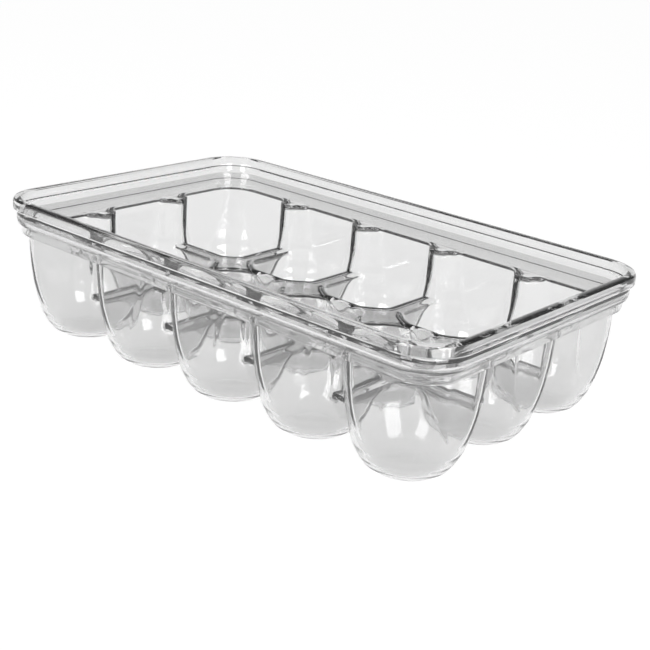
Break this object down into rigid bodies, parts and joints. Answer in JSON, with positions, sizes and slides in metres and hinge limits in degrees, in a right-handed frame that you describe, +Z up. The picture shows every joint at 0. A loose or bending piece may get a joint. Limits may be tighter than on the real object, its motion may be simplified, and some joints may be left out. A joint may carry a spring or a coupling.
{
  "type": "egg carton",
  "caption": "Clear plastic egg carton base: rows of round cups open from a mid-height deck, under a rounded rim of three stepped bands. No lid.",
  "frame": {"origin": "middle of the tray on the plane of the feet", "axes": "+X along the long side, +Y along the short side, +Z up"},
  "size_m": [0.254, 0.158, 0.064],
  "materials": {
    "clear_plastic": "gloss"
  },
  "bodies": {
    "root": {"rim_flange": "clear_plastic", "rim_bead": "clear_plastic", "rim_skirt": "clear_plastic", "ledge": "clear_plastic", "deck_front": "clear_plastic", "deck_back": "clear_plastic", "ribs": "clear_plastic", "cup_a1": "clear_plastic", "cup_a2": "clear_plastic", "cup_a3": "clear_plastic", "cup_a4": "clear_plastic", "cup_a5": "clear_plastic", "cup_b1": "clear_plastic", "cup_b2": "clear_plastic", "cup_b3": "clear_plastic", "cup_b4": "clear_plastic", "cup_b5": "clear_plastic", "cup_c1": "clear_plastic", "cup_c2": "clear_plastic", "cup_c3": "clear_plastic", "cup_c4": "clear_plastic", "cup_c5": "clear_plastic"}
  },
  "joints": []
}
